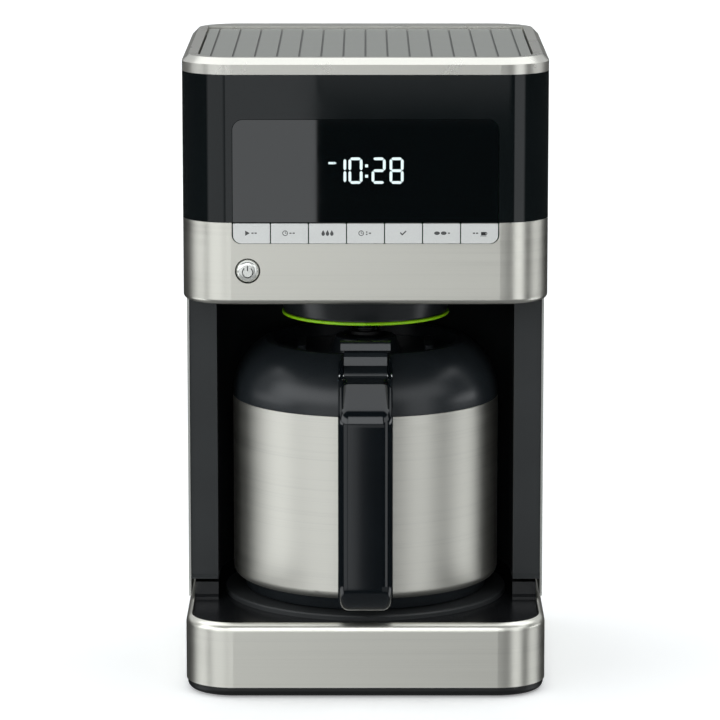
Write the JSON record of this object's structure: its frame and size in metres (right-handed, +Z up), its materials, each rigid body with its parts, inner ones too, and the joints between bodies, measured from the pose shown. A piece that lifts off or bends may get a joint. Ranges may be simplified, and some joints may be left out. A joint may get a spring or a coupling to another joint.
{
  "type": "drip coffee maker",
  "caption": "Countertop drip coffee maker with a steel and black housing, hinged lid, display and keys, over a lift-out insulated steel carafe.",
  "frame": {"origin": "on the worktop, under the middle of the whole object with its carafe handle", "axes": "+Z up, +X to the right of someone facing the machine, +Y towards its rear"},
  "size_m": [0.2, 0.227, 0.355],
  "materials": {
    "brushed_steel": "brushed, fine horizontal grain",
    "side_silver": "satin silver",
    "ring_silver": "satin metallic silver",
    "lid_silver": "satin metallic grey",
    "key_silver": "satin silver",
    "gloss_black": "high gloss",
    "display_black": "high gloss, tinted",
    "display_module": "glossy with pale segments",
    "case_black": "fine moulded texture",
    "rest_black": "satin",
    "lid_black": "moulded",
    "basket_black": "satin moulded",
    "carafe_black": "satin gloss",
    "green_seal": "satin",
    "rubber": "matte",
    "hose_silicone": "translucent",
    "clear_plastic": "smoky clear",
    "pin_steel": "turned",
    "heater_aluminium": "extruded",
    "board_green": "solder mask",
    "switch_plastic": "moulded",
    "terminal_brass": "plated",
    "sensor_metal": "pressed"
  },
  "bodies": {
    "root": {"base_band": "brushed_steel", "head_band": "brushed_steel", "side_panel_left": "side_silver", "side_panel_right": "side_silver", "top_ring": "ring_silver", "front_fascia": "gloss_black", "display_window": "display_black", "display_module": "display_module", "base_plate": "case_black", "base_deck": "case_black", "bay_liner": "case_black", "rear_cover": "case_black", "pillar_left": "case_black", "pillar_right": "case_black", "head_chassis": "case_black", "carafe_rest": "rest_black", "filter_basket": "basket_black", "basket_seal": "green_seal", "rubber_feet": "rubber", "cord_gland": "rubber", "inlet_hose": "hose_silicone", "riser_hose": "hose_silicone", "water_tank": "clear_plastic", "level_window": "clear_plastic", "lid_hinge_pins": "pin_steel", "base_screws": "pin_steel", "drip_stop_spring": "pin_steel", "mesh_filter": "pin_steel", "flow_heater": "heater_aluminium", "control_board": "board_green", "power_board": "board_green", "key_switches": "switch_plastic", "check_valve": "switch_plastic", "heater_terminals": "terminal_brass", "thermostat": "sensor_metal", "thermal_fuse": "sensor_metal"},
    "lid": {"lid_panel": "lid_silver", "lid_liner": "lid_black", "spray_head": "lid_black", "spray_arm": "lid_black"},
    "key_1": {"key_1": "key_silver"},
    "key_2": {"key_2": "key_silver"},
    "key_3": {"key_3": "key_silver"},
    "key_4": {"key_4": "key_silver"},
    "key_5": {"key_5": "key_silver"},
    "key_6": {"key_6": "key_silver"},
    "key_7": {"key_7": "key_silver"},
    "power_button": {"power_button": "key_silver"},
    "carafe": {"carafe_shell": "brushed_steel", "carafe_liner": "brushed_steel", "carafe_foot": "carafe_black", "carafe_collar": "carafe_black", "carafe_handle": "carafe_black", "lever_pin": "pin_steel"},
    "lever": {"thumb_lever": "carafe_black"},
    "carafe_lid": {"carafe_lid": "carafe_black", "lid_gasket": "rubber"},
    "pour_valve": {"pour_valve": "carafe_black"},
    "drip_stop": {"drip_stop": "basket_black"},
    "check_ball": {"check_ball": "switch_plastic"}
  },
  "joints": [
    {"name": "lid_hinge", "type": "hinge", "parent": "root", "child": "lid", "pos_m": [0, 0.0855, 0.3498], "axis": [-1, 0, 0], "range_deg": [0, 95]},
    {"name": "key_1_press", "type": "slide", "parent": "root", "child": "key_1", "axis": [0, 1, 0], "range_m": [0, 0.0008], "stiffness_N_per_m": 400},
    {"name": "key_2_press", "type": "slide", "parent": "root", "child": "key_2", "axis": [0, 1, 0], "range_m": [0, 0.0008], "stiffness_N_per_m": 400},
    {"name": "key_3_press", "type": "slide", "parent": "root", "child": "key_3", "axis": [0, 1, 0], "range_m": [0, 0.0008], "stiffness_N_per_m": 400},
    {"name": "key_4_press", "type": "slide", "parent": "root", "child": "key_4", "axis": [0, 1, 0], "range_m": [0, 0.0008], "stiffness_N_per_m": 400},
    {"name": "key_5_press", "type": "slide", "parent": "root", "child": "key_5", "axis": [0, 1, 0], "range_m": [0, 0.0008], "stiffness_N_per_m": 400},
    {"name": "key_6_press", "type": "slide", "parent": "root", "child": "key_6", "axis": [0, 1, 0], "range_m": [0, 0.0008], "stiffness_N_per_m": 400},
    {"name": "key_7_press", "type": "slide", "parent": "root", "child": "key_7", "axis": [0, 1, 0], "range_m": [0, 0.0008], "stiffness_N_per_m": 400},
    {"name": "power_button_press", "type": "slide", "parent": "root", "child": "power_button", "axis": [0, 1, 0], "range_m": [0, 0.0012], "stiffness_N_per_m": 400},
    {"name": "carafe_slide", "type": "slide", "parent": "root", "child": "carafe", "axis": [0, -1, 0], "range_m": [0, 0.26]},
    {"name": "lever_press", "type": "hinge", "parent": "carafe", "child": "lever", "pos_m": [0, -0.0745, 0.179], "axis": [-1, 0, 0], "range_deg": [0, 6], "stiffness_Nm_per_rad": 0.6},
    {"name": "carafe_lid_twist", "type": "hinge", "parent": "carafe", "child": "carafe_lid", "pos_m": [0, 0.0075, 0.175], "axis": [0, 0, 1], "range_deg": [0, 45]},
    {"name": "pour_valve_push", "type": "slide", "parent": "carafe_lid", "child": "pour_valve", "axis": [0, 0, -1], "range_m": [0, 0.005]},
    {"name": "drip_stop_drop", "type": "slide", "parent": "root", "child": "drip_stop", "axis": [0, 0, -1], "range_m": [0, 0.004], "deforming": ["drip_stop_spring"]},
    {"name": "check_ball_lift", "type": "slide", "parent": "root", "child": "check_ball", "axis": [0, -1, 0], "range_m": [0, 0.0024]}
  ],
  "couplings": [
    {"joint": "drip_stop_drop", "follows": "carafe_slide", "ratio": 0.015385},
    {"joint": "pour_valve_push", "follows": "lever_press", "m_per_rad": 0.046}
  ]
}
